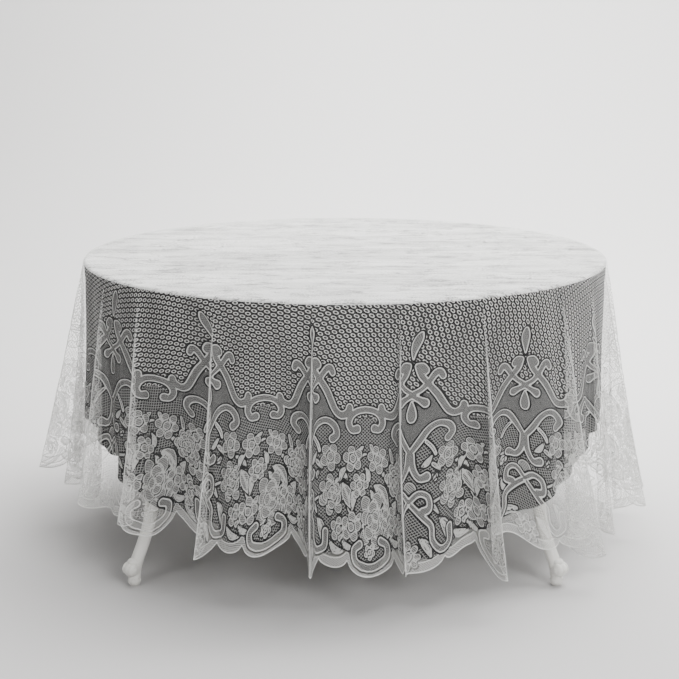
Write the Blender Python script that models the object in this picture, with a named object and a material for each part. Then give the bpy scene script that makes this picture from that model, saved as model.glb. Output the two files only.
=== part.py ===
"""Round cabriole-leg table dressed with a lace tablecloth, a light liner and a dark under-cloth.

Metres, +Z up. The origin is on the floor under the middle of the table, and the front is -Y.
The table stands on four splayed cabriole legs, which are bolted to corner blocks in a square
apron. Three loose cloths lie on it, one on the other: an oval dark under-cloth, a round liner
cut to the table top, and a round lace cloth that hangs in folds nearly to the floor.
"""

import math

import bmesh
import bpy
from mathutils import Matrix, Vector

# Driving dimensions
TABLE_HEIGHT = 0.760          # floor to the top face of the board
TOP_RADIUS = 0.711
TOP_THICKNESS = 0.024
EDGE_RADIUS = 0.006           # rounding of the board's top edge

LACE_RADIUS = 1.372           # cut size of the round lace cloth
LACE_THICKNESS = 0.003
LACE_FOLDS = 16
LACE_FLARE = 0.050            # how far the troughs of the folds stand out at the hem
LACE_FOLD_DEPTH = 0.150       # how far the crests stand out beyond the troughs at the hem
LACE_STAND_OFF = 0.006        # the lace rounds the edge this far outside the board

UNDER_HALF_WIDTH = 1.130      # cut size of the oval under-cloth, left to right
UNDER_HALF_LENGTH = 1.365     # and front to back
UNDER_THICKNESS = 0.002
UNDER_FOLDS = 12
UNDER_FLARE = 0.010
UNDER_FOLD_DEPTH = 0.020

LINER_THICKNESS = 0.002

POST_HALF = 0.030             # half the side of the square post at the head of a leg
POST_OFFSET = 0.455           # post centre from the table's middle, along X and along Y
APRON_HEIGHT = 0.090
RAIL_THICKNESS = 0.022
RAIL_SET_OUT = 0.012          # rail's outer face beyond the post centre

FOOT_SPLAY = 0.112            # foot centre beyond the post centre, along the diagonal
PAD_RADIUS = 0.017
PAD_HEIGHT = 0.016
GLIDE_RADIUS = 0.012
GLIDE_HEIGHT = 0.004
SCROLL_RADIUS = 0.021
SCROLL_LENGTH = 0.040

BLOCK_REACH = 0.115           # corner block's inner edge along each rail, from the corner
BLOCK_DEPTH = 0.042           # block's thickness along the diagonal
BLOCK_HEIGHT = 0.060
BOLT_RADIUS = 0.004
BOLT_IN_POST = 0.030
BOLT_PROUD = 0.016            # bolt's end beyond the block
NUT_ACROSS = 0.014
NUT_HEIGHT = 0.007

BRACKET_WIDTH = 0.030
BRACKET_LEG = 0.034
BRACKET_THICKNESS = 0.002
SCREW_RADIUS = 0.002
SCREW_DEPTH = 0.012
SCREW_HEAD_RADIUS = 0.004
SCREW_HEAD_HEIGHT = 0.0024

GAP = 0.0003                  # between faces that touch
SEGMENTS = 96                 # facets round the table top and the cloths
ROUND = 12                    # facets round small turned pieces
EDGE_STEPS = 3                # facets over the rounded edge

CORNERS = {"front_left": (-1, -1), "front_right": (1, -1), "back_right": (1, 1),
           "back_left": (-1, 1)}
SIDES = {"front": -90, "right": 0, "back": 90, "left": 180}


# ---------------------------------------------------------------- materials and mesh helpers

def make_material(name, colour, roughness, metallic=0.0):
    material = bpy.data.materials.new(name)
    material.use_nodes = True
    shader = material.node_tree.nodes["Principled BSDF"]
    shader.inputs["Base Color"].default_value = (*colour, 1.0)
    shader.inputs["Roughness"].default_value = roughness
    shader.inputs["Metallic"].default_value = metallic
    return material


def add_object(name, bm, material, placement=Matrix.Identity(4), smooth_angle=35):
    """Recalculate the normals, move the mesh into place and link it as one named object."""
    bmesh.ops.recalc_face_normals(bm, faces=bm.faces)
    mesh = bpy.data.meshes.new(name)
    bm.to_mesh(mesh)
    bm.free()
    mesh.materials.append(material)
    mesh.shade_smooth()
    mesh.set_sharp_from_angle(angle=math.radians(smooth_angle))
    obj = bpy.data.objects.new(name, mesh)
    obj.matrix_world = placement
    bpy.context.collection.objects.link(obj)
    return obj


def loft(bm, rings, close_start=True, close_end=True):
    """Skin a list of rings of points, each with the same count, and cap the two ends."""
    loops = [[bm.verts.new(point) for point in ring] for ring in rings]
    count = len(loops[0])
    for lower, upper in zip(loops, loops[1:]):
        for i in range(count):
            j = (i + 1) % count
            bm.faces.new((lower[i], lower[j], upper[j], upper[i]))
    if close_start:
        bm.faces.new(reversed(loops[0]))
    if close_end:
        bm.faces.new(loops[-1])
    return loops


def turned(profile, count):
    """Rings of points for a profile of (radius, height) pairs turned about Z."""
    step = 2 * math.pi / count
    return [[Vector((radius * math.cos(i * step), radius * math.sin(i * step), height))
             for i in range(count)] for radius, height in profile]


def cut_bore(target, name, placement, radius, depth):
    """Cut a round hole that runs from the placement's origin along its -Z for the depth."""
    bm = bmesh.new()
    loft(bm, turned([(radius, -depth), (radius, depth)], ROUND))
    cutter = add_object(name, bm, target.data.materials[0], placement)
    add_boolean(target, cutter, "DIFFERENCE")


def add_boolean(target, other, operation):
    other.hide_render = True
    other.display_type = "WIRE"
    modifier = target.modifiers.new(other.name, "BOOLEAN")
    modifier.operation = operation
    modifier.solver = "EXACT"
    modifier.object = other


def diagonal_frame(corner, along, height):
    """Frame at a distance along a corner's diagonal, with local X pointing outwards."""
    sign_x, sign_y = corner
    angle = math.atan2(sign_y, sign_x)
    spot = Matrix.Translation((along * math.cos(angle), along * math.sin(angle), height))
    return spot @ Matrix.Rotation(angle, 4, "Z")


# ---------------------------------------------------------------- table

def table_top(material):
    """Round board with a rounded top edge and a small cove under its rim."""
    under = TABLE_HEIGHT - TOP_THICKNESS
    cove = TOP_THICKNESS / 3
    profile = [(TOP_RADIUS - cove, under)]
    profile.append((TOP_RADIUS - cove / 4, under + cove))
    profile.append((TOP_RADIUS, under + 1.4 * cove))
    profile += [(TOP_RADIUS - EDGE_RADIUS + EDGE_RADIUS * math.cos(turn),
                 TABLE_HEIGHT - EDGE_RADIUS + EDGE_RADIUS * math.sin(turn))
                for turn in edge_turns()]
    bm = bmesh.new()
    loft(bm, turned(profile, SEGMENTS))
    return add_object("table_top", bm, material)


def edge_turns():
    """Angles of the points round the board's top edge, from its side up to its top face."""
    return [math.pi / 2 * i / EDGE_STEPS for i in range(EDGE_STEPS + 1)]


def apron_rail(side, angle, material):
    """Straight rail between two posts, with a shallow arch cut from its lower edge."""
    length = 2 * (POST_OFFSET - POST_HALF - GAP)
    top = TABLE_HEIGHT - TOP_THICKNESS - GAP
    arch = APRON_HEIGHT / 4
    steps = 8
    outline = [(-length / 2, top), (-length / 2, top - APRON_HEIGHT)]
    for i in range(1, steps):
        share = i / steps
        rise = arch * math.sin(math.pi * share)
        outline.append((length * (share - 0.5), top - APRON_HEIGHT + rise))
    outline += [(length / 2, top - APRON_HEIGHT), (length / 2, top)]
    outer = POST_OFFSET + RAIL_SET_OUT
    inner = outer - RAIL_THICKNESS
    bm = bmesh.new()
    loft(bm, [[Vector((x, y, z)) for y, z in outline] for x in (inner, outer)])
    turn = Matrix.Rotation(math.radians(angle), 4, "Z")
    return add_object("apron_" + side, bm, material, turn)


# Height above the floor as a share of the leg, offset along the diagonal as a share of the
# splay, and half the leg's width: head post, knee, ankle and foot of the cabriole curve.
LEG_STATIONS = [(1.000, 0.00, POST_HALF), (0.875, 0.00, POST_HALF), (0.800, 0.10, 0.0330),
                (0.700, 0.17, 0.0310), (0.560, 0.20, 0.0250), (0.420, 0.27, 0.0205),
                (0.300, 0.38, 0.0180), (0.200, 0.50, 0.0165), (0.130, 0.68, 0.0160),
                (0.075, 0.86, 0.0175), (0.040, 0.98, 0.0180), (0.000, 1.00, 0.0160)]
LEG_SIDES = 12


def leg_section(half, squareness, count):
    """Outline of a leg section, from round (0) to square (1), turned to face the apron."""
    points = []
    for i in range(count):
        angle = 2 * math.pi * (i + 0.5) / count
        x, y = math.cos(angle), math.sin(angle)
        to_square = 1 / max(abs(x), abs(y))
        reach = half * (1 + squareness * (to_square - 1))
        points.append(Matrix.Rotation(math.radians(45), 2) @ Vector((x * reach, y * reach)))
    return points


def leg(name, corner, material):
    """Cabriole leg: square head post, outward knee, thin ankle and a scroll over the pad."""
    base = GLIDE_HEIGHT + GAP + PAD_HEIGHT + GAP
    top = TABLE_HEIGHT - TOP_THICKNESS - GAP
    rings = []
    for share, splay, half in LEG_STATIONS:
        in_post = share > 0.87
        outline = leg_section(half, 1.0 if in_post else 0.35, LEG_SIDES)
        height = base + (top - base) * share
        rings.append([Vector((FOOT_SPLAY * splay + p.x, p.y, height)) for p in outline])
    bm = bmesh.new()
    loft(bm, rings)
    place = diagonal_frame(corner, math.sqrt(2) * POST_OFFSET, 0.0)
    obj = add_object("leg_" + name, bm, material, place)

    scroll = bmesh.new()
    dome = SCROLL_LENGTH / 2
    loft(scroll, turned([(0.55 * SCROLL_RADIUS, -dome), (SCROLL_RADIUS, -0.6 * dome),
                         (SCROLL_RADIUS, 0.6 * dome), (0.55 * SCROLL_RADIUS, dome)], ROUND))
    across = Matrix.Translation((FOOT_SPLAY + 0.30 * SCROLL_RADIUS, 0.0,
                                 base + 1.10 * SCROLL_RADIUS))
    volute = add_object("scroll_" + name, scroll, material,
                        place @ across @ Matrix.Rotation(math.pi / 2, 4, "X"))
    add_boolean(obj, volute, "UNION")

    entry = bolt_frame(corner) @ Matrix.Translation((0, 0, -post_face_gap()))
    cut_bore(obj, "bolt_bore_" + name, entry, BOLT_RADIUS + GAP, BOLT_IN_POST + GAP)
    return obj


def foot_pieces(name, corner, wood, plastic):
    """Turned pad under the scroll, and the glide that stands on the floor."""
    place = diagonal_frame(corner, math.sqrt(2) * POST_OFFSET + FOOT_SPLAY, 0.0)
    bm = bmesh.new()
    chamfer = GLIDE_HEIGHT / 4
    loft(bm, turned([(GLIDE_RADIUS - chamfer, 0.0), (GLIDE_RADIUS, chamfer),
                     (GLIDE_RADIUS, GLIDE_HEIGHT)], ROUND))
    add_object("glide_" + name, bm, plastic, place)

    low = GLIDE_HEIGHT + GAP
    high = low + PAD_HEIGHT
    bm = bmesh.new()
    loft(bm, turned([(0.80 * PAD_RADIUS, low), (0.95 * PAD_RADIUS, low + PAD_HEIGHT / 4),
                     (PAD_RADIUS, low + PAD_HEIGHT / 2), (0.92 * PAD_RADIUS, high)], ROUND))
    add_object("foot_pad_" + name, bm, wood, place)


# ---------------------------------------------------------------- leg fastenings

def block_outer_along():
    """Distance along the diagonal of the corner block's outer face."""
    inner_corner = POST_OFFSET + RAIL_SET_OUT - RAIL_THICKNESS
    return (2 * inner_corner - BLOCK_REACH) / math.sqrt(2) + BLOCK_DEPTH


def post_face_gap():
    """Distance from the corner block's outer face to the inner corner of the post."""
    return math.sqrt(2) * (POST_OFFSET - POST_HALF) - block_outer_along()


def bolt_frame(corner):
    """Frame at the block's outer face, on the bolt's axis, with -Z pointing into the post."""
    height = TABLE_HEIGHT - TOP_THICKNESS - APRON_HEIGHT / 2
    frame = diagonal_frame(corner, block_outer_along(), height)
    return frame @ Matrix.Rotation(-math.pi / 2, 4, "Y")


def corner_block(name, corner, material):
    """Block that bridges two rails behind the post, drilled for the bolt."""
    face = POST_OFFSET + RAIL_SET_OUT - RAIL_THICKNESS - GAP
    inner = face - BLOCK_REACH
    outer = inner + math.sqrt(2) * BLOCK_DEPTH
    top = TABLE_HEIGHT - TOP_THICKNESS - GAP - (APRON_HEIGHT - BLOCK_HEIGHT) / 2
    sign_x, sign_y = corner
    outline = [(face, inner), (face, outer), (outer, face), (inner, face)]
    bm = bmesh.new()
    loft(bm, [[Vector((x * sign_x, y * sign_y, z)) for x, y in outline]
              for z in (top - BLOCK_HEIGHT, top)])
    obj = add_object("corner_block_" + name, bm, material)
    middle = bolt_frame(corner) @ Matrix.Translation((0, 0, BLOCK_DEPTH / 2))
    cut_bore(obj, "block_bore_" + name, middle, BOLT_RADIUS + GAP, BLOCK_DEPTH)


def hanger_bolt(name, corner, material):
    """Bolt from the post through the corner block, and the nut that draws the leg in."""
    start = -(post_face_gap() + BOLT_IN_POST)
    end = BLOCK_DEPTH + BOLT_PROUD
    tip = BOLT_RADIUS / 2
    bm = bmesh.new()
    loft(bm, turned([(tip, start), (BOLT_RADIUS, start + tip), (BOLT_RADIUS, end - tip),
                     (tip, end)], ROUND))
    add_object("hanger_bolt_" + name, bm, material, bolt_frame(corner))

    bm = bmesh.new()
    low = BLOCK_DEPTH + 2 * GAP
    high = low + NUT_HEIGHT
    flats = 6
    hexagon = NUT_ACROSS / 2 / math.cos(math.pi / flats)
    bore = BOLT_RADIUS + GAP
    hexagon_turn = ROUND // flats
    outer = [hex_ring(hexagon, z, hexagon_turn) for z in (low, high)]
    inner = turned([(bore, high), (bore, low)], ROUND)
    loops = loft(bm, outer + inner, close_start=False, close_end=False)
    close_ring(bm, loops[-1], loops[0])
    add_object("nut_" + name, bm, material, bolt_frame(corner))


def hex_ring(radius, height, per_side):
    """Hexagon with the same number of points as the round bore inside it."""
    corners = [Vector((radius * math.cos(math.pi / 3 * i), radius * math.sin(math.pi / 3 * i),
                       height)) for i in range(6)]
    points = []
    for i, corner in enumerate(corners):
        following = corners[(i + 1) % 6]
        points += [corner.lerp(following, step / per_side) for step in range(per_side)]
    return points


def close_ring(bm, last, first):
    count = len(last)
    for i in range(count):
        j = (i + 1) % count
        bm.faces.new((last[i], last[j], first[j], first[i]))


def top_bracket(side, angle, material):
    """Steel angle between a rail and the board, with a screw into each."""
    turn = Matrix.Rotation(math.radians(angle), 4, "Z")
    face = POST_OFFSET + RAIL_SET_OUT - RAIL_THICKNESS - GAP
    under = TABLE_HEIGHT - TOP_THICKNESS - GAP
    thick = BRACKET_THICKNESS
    outline = [(face, under), (face - BRACKET_LEG, under), (face - BRACKET_LEG, under - thick),
               (face - thick, under - thick), (face - thick, under - BRACKET_LEG),
               (face, under - BRACKET_LEG)]
    bm = bmesh.new()
    loft(bm, [[Vector((x, y, z)) for x, z in outline]
              for y in (-BRACKET_WIDTH / 2, BRACKET_WIDTH / 2)])
    bracket = add_object("top_bracket_" + side, bm, material, turn)

    reach = BRACKET_LEG * 0.6
    into_rail = turn @ Matrix.Translation((face - thick, 0, under - reach))
    into_rail = into_rail @ Matrix.Rotation(-math.pi / 2, 4, "Y")
    into_top = turn @ Matrix.Translation((face - reach, 0, under - thick))
    into_top = into_top @ Matrix.Rotation(math.pi, 4, "X")
    for use, place, wood in (("rail", into_rail, "apron_" + side),
                             ("top", into_top, "table_top")):
        hole = SCREW_RADIUS + GAP
        cut_bore(bracket, f"bracket_bore_{use}_{side}", place, hole, 2 * thick)
        cut_bore(bpy.data.objects[wood], f"screw_bore_{use}_{side}", place, hole,
                 thick + SCREW_DEPTH + 2 * GAP)
        bm = bmesh.new()
        loft(bm, turned([(SCREW_RADIUS / 2, -thick - SCREW_DEPTH),
                         (SCREW_RADIUS, -thick - 0.8 * SCREW_DEPTH), (SCREW_RADIUS, GAP),
                         (SCREW_HEAD_RADIUS, GAP), (0.8 * SCREW_HEAD_RADIUS, SCREW_HEAD_HEIGHT)],
                        ROUND))
        add_object(f"screw_{use}_{side}", bm, material, place)


# ---------------------------------------------------------------- cloths

def under_level():
    """Height of the under-cloth's lower face on the table."""
    return TABLE_HEIGHT + GAP


def liner_level():
    return under_level() + UNDER_THICKNESS + GAP


def lace_level():
    return liner_level() + LINER_THICKNESS + GAP


def under_drop(angle):
    """Length of the oval under-cloth that hangs below the edge, at an angle round the table."""
    across = math.cos(angle) / UNDER_HALF_WIDTH
    along = math.sin(angle) / UNDER_HALF_LENGTH
    reach = 1 / math.hypot(across, along)
    round_edge = math.pi / 2 * EDGE_RADIUS
    return reach - (TOP_RADIUS - EDGE_RADIUS) - round_edge


def lace_drop(angle):
    round_edge = math.pi / 2 * (EDGE_RADIUS + LACE_STAND_OFF)
    slant = math.cos(math.atan2(LACE_FLARE + LACE_FOLD_DEPTH / 2, LACE_RADIUS - TOP_RADIUS))
    return (LACE_RADIUS - (TOP_RADIUS - EDGE_RADIUS) - round_edge) * slant


def cloth_rings(level, stand_off, drop, flare, fold_depth, folds):
    """Rings of a draped cloth's lower face, from the hem up to near the middle of the table.

    level is the height of the face on the table, and stand_off how far outside the board it
    rounds the edge. flare and fold_depth are how far the folds' troughs and crests stand out
    where the cloth has dropped by its longest drop.
    """
    angles = [2 * math.pi * i / SEGMENTS for i in range(SEGMENTS)]
    longest = max(drop(0.0), drop(math.pi / 2))
    flat = TOP_RADIUS - EDGE_RADIUS
    bend = EDGE_RADIUS + stand_off
    rings = []
    for share in (1.00, 0.75, 0.50, 0.30, 0.10):
        ring = []
        for angle in angles:
            hang = share * drop(angle)
            crest = 0.5 + 0.5 * math.cos(folds * angle)
            radius = flat + bend + hang / longest * (flare + fold_depth * crest)
            ring.append(Vector((radius * math.cos(angle), radius * math.sin(angle),
                                level - bend - hang)))
        rings.append(ring)
    profile = [(flat + bend * math.cos(turn), level - bend + bend * math.sin(turn))
               for turn in edge_turns()]
    profile.append((0.5 * flat, level))
    return rings + turned(profile, SEGMENTS)


def draped_cloth(name, material, thickness, **shape):
    """Sheet from the hem to the middle of the table, thickened outwards into a closed shell."""
    bm = bmesh.new()
    loops = loft(bm, cloth_rings(**shape), close_start=False, close_end=False)
    middle = bm.verts.new((0.0, 0.0, shape["level"]))
    for i in range(SEGMENTS):
        bm.faces.new((loops[-1][i], loops[-1][(i + 1) % SEGMENTS], middle))
    obj = add_object(name, bm, material, smooth_angle=60)
    shell = obj.modifiers.new("cloth thickness", "SOLIDIFY")
    shell.thickness = thickness
    shell.offset = 1.0
    shell.use_even_offset = True
    return obj


def liner(material):
    """Flat round liner cut to the board, under the lace."""
    radius = TOP_RADIUS - EDGE_RADIUS - GAP
    bm = bmesh.new()
    loft(bm, turned([(radius, liner_level()), (radius, liner_level() + LINER_THICKNESS)],
                    SEGMENTS))
    return add_object("table_liner", bm, material)


# ---------------------------------------------------------------- assembly

def main():
    for old in list(bpy.data.objects):
        bpy.data.objects.remove(old)

    paint = make_material("white_paint", (0.80, 0.80, 0.77), 0.35)
    beech = make_material("beech", (0.60, 0.42, 0.26), 0.6)
    steel = make_material("zinc_steel", (0.62, 0.63, 0.65), 0.35, 1.0)
    nylon = make_material("nylon", (0.55, 0.53, 0.50), 0.5)
    black_cloth = make_material("black_cloth", (0.010, 0.010, 0.011), 0.95)
    white_cloth = make_material("white_cloth", (0.72, 0.72, 0.70), 0.9)
    lace = make_material("ivory_lace", (0.75, 0.76, 0.73), 0.85)

    table_top(paint)
    for side, angle in SIDES.items():
        apron_rail(side, angle, paint)
    for name, corner in CORNERS.items():
        leg(name, corner, paint)
        foot_pieces(name, corner, paint, nylon)
        corner_block(name, corner, beech)
        hanger_bolt(name, corner, steel)
    for side, angle in SIDES.items():
        top_bracket(side, angle, steel)

    draped_cloth("under_cloth", black_cloth, UNDER_THICKNESS, level=under_level(),
                 stand_off=GAP, drop=under_drop, flare=UNDER_FLARE,
                 fold_depth=UNDER_FOLD_DEPTH, folds=UNDER_FOLDS)
    liner(white_cloth)
    draped_cloth("lace_tablecloth", lace, LACE_THICKNESS, level=lace_level(),
                 stand_off=LACE_STAND_OFF, drop=lace_drop, flare=LACE_FLARE,
                 fold_depth=LACE_FOLD_DEPTH, folds=LACE_FOLDS)


main()
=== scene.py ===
"""The looks of the lace tablecloth on its round table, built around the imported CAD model."""
import bpy
import math
import numpy as np
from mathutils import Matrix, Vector


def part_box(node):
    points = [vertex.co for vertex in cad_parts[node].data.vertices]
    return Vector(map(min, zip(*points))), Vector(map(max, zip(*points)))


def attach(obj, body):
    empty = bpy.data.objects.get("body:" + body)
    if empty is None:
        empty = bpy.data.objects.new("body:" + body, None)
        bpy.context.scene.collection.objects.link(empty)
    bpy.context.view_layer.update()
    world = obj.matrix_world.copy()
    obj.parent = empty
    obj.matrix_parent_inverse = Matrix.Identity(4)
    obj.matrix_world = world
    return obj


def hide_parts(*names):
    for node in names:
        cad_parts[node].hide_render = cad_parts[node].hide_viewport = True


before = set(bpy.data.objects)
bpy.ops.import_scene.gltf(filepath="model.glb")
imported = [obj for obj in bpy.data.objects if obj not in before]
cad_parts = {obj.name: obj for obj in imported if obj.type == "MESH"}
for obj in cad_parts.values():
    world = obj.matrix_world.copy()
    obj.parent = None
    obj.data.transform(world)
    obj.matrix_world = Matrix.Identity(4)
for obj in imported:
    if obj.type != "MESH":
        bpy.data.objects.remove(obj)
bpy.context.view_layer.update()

# ---------------------------------------------------------------- sizes, in metres
TOP_LOW, TOP_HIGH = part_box("table_top")
RIM_RADIUS = (TOP_HIGH.x - TOP_LOW.x) / 2
TOP_Z = TOP_HIGH.z
EDGE_RADIUS = 0.006

LACE_RADIUS = 1.372
LACE_OFF_CENTRE = 0.045
LACE_LIFT = 0.0056
LACE_REPEATS = 16
FIRST_AXIS = math.radians(12.6)
HEM_NOTCH = 1.328
# lobes of the hem in half a repeat: distance from the repeat's axis, half width, furthest reach
HEM_LOBES = ((0.0, 0.100, 1.356), (0.146, 0.044, 1.348), (0.2694, 0.074, LACE_RADIUS))
LACE_COLUMNS = 2304
LACE_ROWS = 136

UNDER_HALF_WIDTH = 1.130
UNDER_HALF_LENGTH = 1.365
UNDER_LIFT = 0.0012
UNDER_FOLDS = 26
LINER_LIFT = 0.0030
LINER_RADIUS = 0.714
# how far the liner has turned over the edge at its last rings, in radians
LINER_TURNS = (0.3, 0.6, 0.9, 1.2)
# the open net's rings lie on two sets of rows in the flat cloth: direction across the rows, and their pitch
NET_ROWS = ((math.radians(-86.1), 0.0112), (math.radians(51.9), 0.0122))
FINE_PITCH = 0.0066
# how much of the view the thread covers in each part of the lace
NET_COVER = 0.74
FINE_COVER = 0.37
GROUND_COVER = 0.140
FILL_COVER = 0.190
CORD_COVER = 0.70

# the hanging lace stands a little further out under the rim, and flares by the time it has dropped this far
STAND_OFF = 0.006
FLARE = 0.026
FULL_DROP = 0.65
# the maps from flat cloth to UV leave a narrow margin
UV_SPAN = 1.02
# how far the hanging lace has slid round the rim at these angles, in degrees
SLIDE_AT = (-100, -77, -54.9, -32.4, -9.9, 12.6, 35.1, 57.6, 80, 110)
SLIDE_BY = (0, 0, -0.7, 3.7, -0.1, -3.2, -1.3, 1.5, 0.5, 0)
# the lace's folds, from the left round to the front, the right and the back: azimuth from the front
# towards +X in degrees, weight of its depth, lean in radians, then for the panel that follows it: where
# it swells out and by how much, where it hollows in and by how much, and how much shorter it hangs there
FOLDS = (
    (-88, 1.30, 0.20, 0.5, 0.020, 0.8, 0.010, 0.05), (-72, 0.70, -0.10, 0.3, 0.015, 0.7, 0.010, 0.03),
    (-58, 1.15, 0.15, 0.6, 0.020, 0.3, 0.005, 0.02), (-44.5, 0.85, -0.05, 0.2, 0.010, 0.5, 0.020, 0.07),
    (-25.5, 1.00, 0.05, 0.25, 0.022, 0.72, 0.026, 0.07), (-6.2, 1.05, 0.10, 0.45, 0.022, 0.95, 0.004, 0.01),
    (9.9, 0.95, -0.05, 0.2, 0.014, 0.8, 0.022, 0.06), (26.7, 1.00, 0.00, 0.8, 0.018, 0.32, 0.026, 0.10),
    (47.5, 1.25, 0.15, 0.5, 0.018, 0.9, 0.008, 0.03), (60.5, 0.75, -0.15, 0.4, 0.015, 0.8, 0.010, 0.03),
    (77, 1.05, 0.10, 0.3, 0.018, 0.75, 0.015, 0.04), (93, 1.15, -0.15, 0.6, 0.020, 0.2, 0.012, 0.03),
    (110, 0.95, 0.12, 0.3, 0.020, 0.8, 0.015, 0.04), (127, 1.05, -0.10, 0.6, 0.020, 0.2, 0.012, 0.02),
    (143, 0.90, 0.08, 0.3, 0.018, 0.8, 0.018, 0.05), (160, 1.10, -0.12, 0.4, 0.022, 0.9, 0.015, 0.04),
    (178, 1.00, 0.10, 0.3, 0.020, 0.7, 0.018, 0.05), (196, 0.95, -0.08, 0.7, 0.018, 0.3, 0.015, 0.04),
    (213, 1.05, 0.10, 0.4, 0.020, 0.8, 0.014, 0.03), (230, 1.00, -0.12, 0.3, 0.020, 0.75, 0.016, 0.04),
    (252, 1.00, 0.10, 0.6, 0.022, 0.2, 0.014, 0.04),
)


# ---------------------------------------------------------------- meshes
def add_mesh(name, points, faces, uv=None):
    """A smooth-shaded object from points and faces, with an optional UV pair for each point."""
    mesh = bpy.data.meshes.new(name)
    mesh.from_pydata([tuple(p) for p in points], [], [tuple(f) for f in faces])
    if uv is not None:
        layer = mesh.uv_layers.new(name="OFBake")
        corner = np.zeros(len(mesh.loops), np.int32)
        mesh.loops.foreach_get("vertex_index", corner)
        layer.data.foreach_set("uv", np.asarray(uv, np.float32)[corner].ravel())
    mesh.polygons.foreach_set("use_smooth", [True] * len(mesh.polygons))
    mesh.update()
    obj = bpy.data.objects.new(name, mesh)
    bpy.context.scene.collection.objects.link(obj)
    return obj


def add_values(obj, name, values):
    """One number per vertex, for the materials to read."""
    layer = obj.data.attributes.new(name, "FLOAT", "POINT")
    layer.data.foreach_set("value", np.asarray(values, np.float32).ravel())


def ring_faces(inner, outer):
    """Quads between two closed rings of vertex numbers, of equal length."""
    a, b = np.roll(inner, -1), np.roll(outer, -1)
    return np.stack([inner, outer, b, a], 1).tolist()


def disc_faces(columns, rings):
    """Faces of a disc: a fan round its middle point, then quads from each ring to the next."""
    faces = [[0, 1 + j, 1 + (j + 1) % columns] for j in range(columns)]
    for ring in range(rings - 1):
        inner = 1 + ring * columns + np.arange(columns)
        faces += ring_faces(inner, inner + columns)
    return faces


def stitch_faces(inner, outer):
    """Faces between a closed ring and the next one out, which has four times as many points."""
    faces = []
    for i in range(len(inner)):
        j = (i + 1) % len(inner)
        o = outer[4 * i: 4 * i + 5] if 4 * i + 4 < len(outer) else np.append(outer[4 * i:], outer[0])
        faces += [[inner[i], o[0], o[1]], [inner[i], o[1], o[2]], [inner[i], o[2], inner[j]],
                  [inner[j], o[2], o[3]], [inner[j], o[3], o[4]]]
    return faces


def round_way(azimuth):
    """Unit vectors in plan at these angles from the front towards +X."""
    return np.stack([np.sin(azimuth), -np.cos(azimuth)], 1)


def noise(x, y, scale, seed, octaves=3):
    """Smooth, repeatable noise from sums of sines, about -1 to 1."""
    rng = np.random.default_rng(seed)
    total, weight = np.zeros_like(x), 0.0
    for octave in range(octaves):
        strength = 0.6 ** octave
        for _ in range(5):
            angle, phase = rng.uniform(0, 2 * math.pi, 2)
            k = 2 * math.pi / scale * 1.9 ** octave * rng.uniform(0.7, 1.3)
            total = total + strength * np.sin(k * (x * math.cos(angle) + y * math.sin(angle)) + phase)
        weight += strength * 5 ** 0.5
    return total / weight


def smoothstep(t):
    t = np.clip(t, 0, 1)
    return t * t * (3 - 2 * t)


# ---------------------------------------------------------------- the drape
def spline(points, per_span):
    """A smooth open curve through a list of control points (uniform cubic B-spline)."""
    p = np.asarray(points, float)
    p = np.vstack([2 * p[0] - p[1], p, 2 * p[-1] - p[-2]])
    t = np.linspace(0, 1, per_span, endpoint=False)[:, None]
    basis = ((1 - t) ** 3, 3 * t ** 3 - 6 * t ** 2 + 4, -3 * t ** 3 + 3 * t ** 2 + 3 * t + 1, t ** 3)
    spans = [sum(b * p[i + k] for k, b in enumerate(basis)) / 6 for i in range(len(p) - 3)]
    return np.vstack(spans + [p[-2][None]])


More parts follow.
